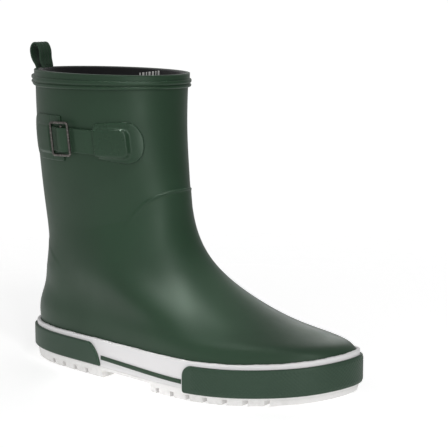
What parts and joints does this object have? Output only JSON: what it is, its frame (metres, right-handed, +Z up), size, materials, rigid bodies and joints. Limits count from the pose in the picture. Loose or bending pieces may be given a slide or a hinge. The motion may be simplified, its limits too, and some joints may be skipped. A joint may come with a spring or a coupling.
{
  "type": "rubber rain boot",
  "caption": "Short right-foot rubber rain boot with side strap and slider buckle, ribbed collar, back pull loop, textile lining and a cleated sole with foxing bands.",
  "frame": {"origin": "on the ground under the middle of the boot's bounding box", "axes": "+X points to the toe, +Y to the inner (medial) side of the right foot, -Y to the outer (lateral) side that carries the strap, +Z up"},
  "size_m": [0.294, 0.1112, 0.2538],
  "materials": {
    "upper_rubber": "satin dark green rubber",
    "collar_rubber": "satin dark green rubber",
    "trim_rubber": "ribbed dark green rubber",
    "bead_rubber": "dark green rubber edge strip",
    "lining_textile": "black knitted textile",
    "facing_textile": "black woven facing",
    "puff": "raw reinforcing rubber",
    "reinforcement": "raw reinforcing rubber",
    "counter": "raw stiff rubber",
    "loop_webbing": "ribbed dark green rubber strap",
    "loop_anchor": "ribbed dark green rubber strap",
    "strap_rubber": "satin dark green rubber",
    "front_patch_rubber": "satin dark green rubber",
    "rear_patch_rubber": "satin dark green rubber",
    "buckle_metal": "dark antique gunmetal plating",
    "bar_metal": "dark antique gunmetal plating",
    "sole_rubber": "matte white rubber",
    "foxing_rubber": "matte white rubber",
    "toe_band_rubber": "fine textured green rubber",
    "heel_band_rubber": "matte green rubber",
    "stripe_rubber": "matte green rubber",
    "filler_foam": "sponge rubber",
    "heel_filler_foam": "sponge rubber",
    "shank_steel": "plain rolled steel",
    "board_fibre": "compressed fibre board",
    "insole_foam": "textile-faced foam"
  },
  "bodies": {
    "boot": {"upper_shell": "upper_rubber", "collar_band": "collar_rubber", "collar_trim": "trim_rubber", "collar_bead": "bead_rubber", "lining": "lining_textile", "lining_collar": "facing_textile", "toe_puff": "puff", "vamp_reinforcement": "reinforcement", "heel_counter": "counter", "pull_loop_anchor": "loop_anchor", "side_strap": "strap_rubber", "front_strap_patch": "front_patch_rubber", "rear_strap_patch": "rear_patch_rubber", "outsole": "sole_rubber", "foxing": "foxing_rubber", "toe_band": "toe_band_rubber", "heel_band": "heel_band_rubber", "stripe_lateral": "stripe_rubber", "stripe_medial": "stripe_rubber", "sole_filler": "filler_foam", "heel_filler": "heel_filler_foam", "shank": "shank_steel", "insole_board": "board_fibre"},
    "pull_loop": {"pull_loop": "loop_webbing"},
    "buckle": {"buckle_frame": "buckle_metal", "buckle_bar": "bar_metal"},
    "insole": {"insole": "insole_foam"}
  },
  "joints": [
    {"name": "pull_loop_flex", "type": "hinge", "parent": "boot", "child": "pull_loop", "pos_m": [-0.13471, -0.001, 0.23241], "axis": [0, 1, 0], "range_deg": [-30, 20], "stiffness_Nm_per_rad": 0.004},
    {"name": "buckle_rock", "type": "hinge", "parent": "boot", "child": "buckle", "pos_m": [-0.08096, -0.04356, 0.1833], "axis": [-0.0417, -0.0921, 0.9949], "range_deg": [-6, 6]},
    {"name": "insole_lift", "type": "hinge", "parent": "boot", "child": "insole", "pos_m": [0.136, 0, 0.0205], "axis": [0, 1, 0], "range_deg": [0, 3]}
  ]
}
